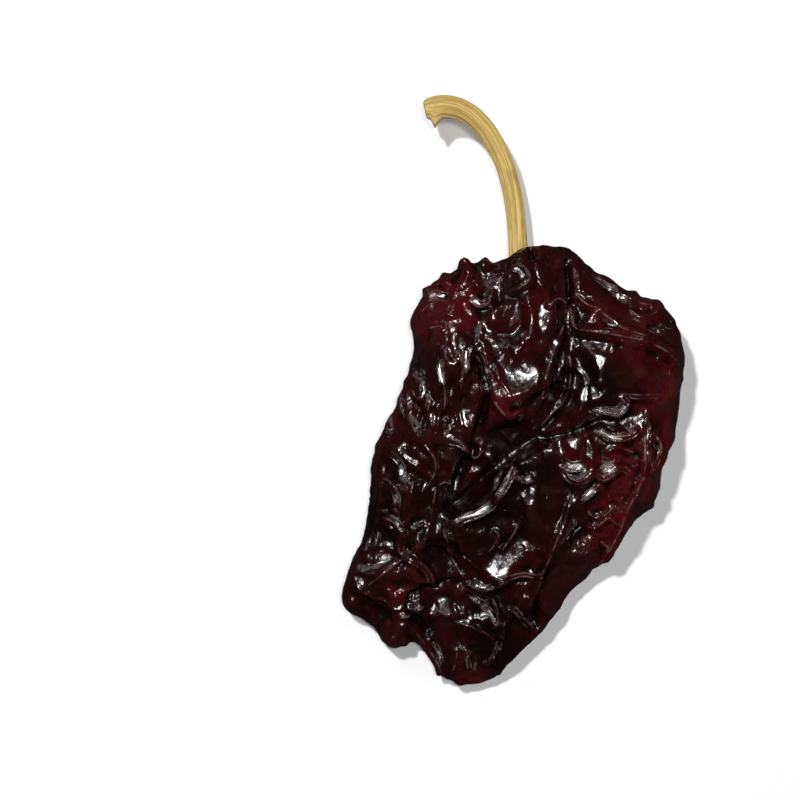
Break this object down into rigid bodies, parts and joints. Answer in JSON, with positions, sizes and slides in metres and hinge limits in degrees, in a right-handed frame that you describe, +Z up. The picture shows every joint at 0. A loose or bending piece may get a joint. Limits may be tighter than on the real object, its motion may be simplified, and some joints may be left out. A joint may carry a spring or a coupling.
{
  "type": "dried red pepper",
  "caption": "Dried red pepper lying on its side: a flattened, deeply wrinkled glossy pod with a long curved stalk and a calyx set in the crown.",
  "frame": {"origin": "middle of the base of the whole pepper's box, on the surface it lies on", "axes": "+Z up, +Y from the pod's tip towards its stalk, +X to the right seen from above with the stalk at the top"},
  "size_m": [0.087, 0.1485, 0.0306],
  "materials": {
    "skin": "glossy, wrinkled",
    "stalk": "matt, fibrous"
  },
  "bodies": {
    "root": {"pod": "skin", "stalk": "stalk"}
  },
  "joints": []
}
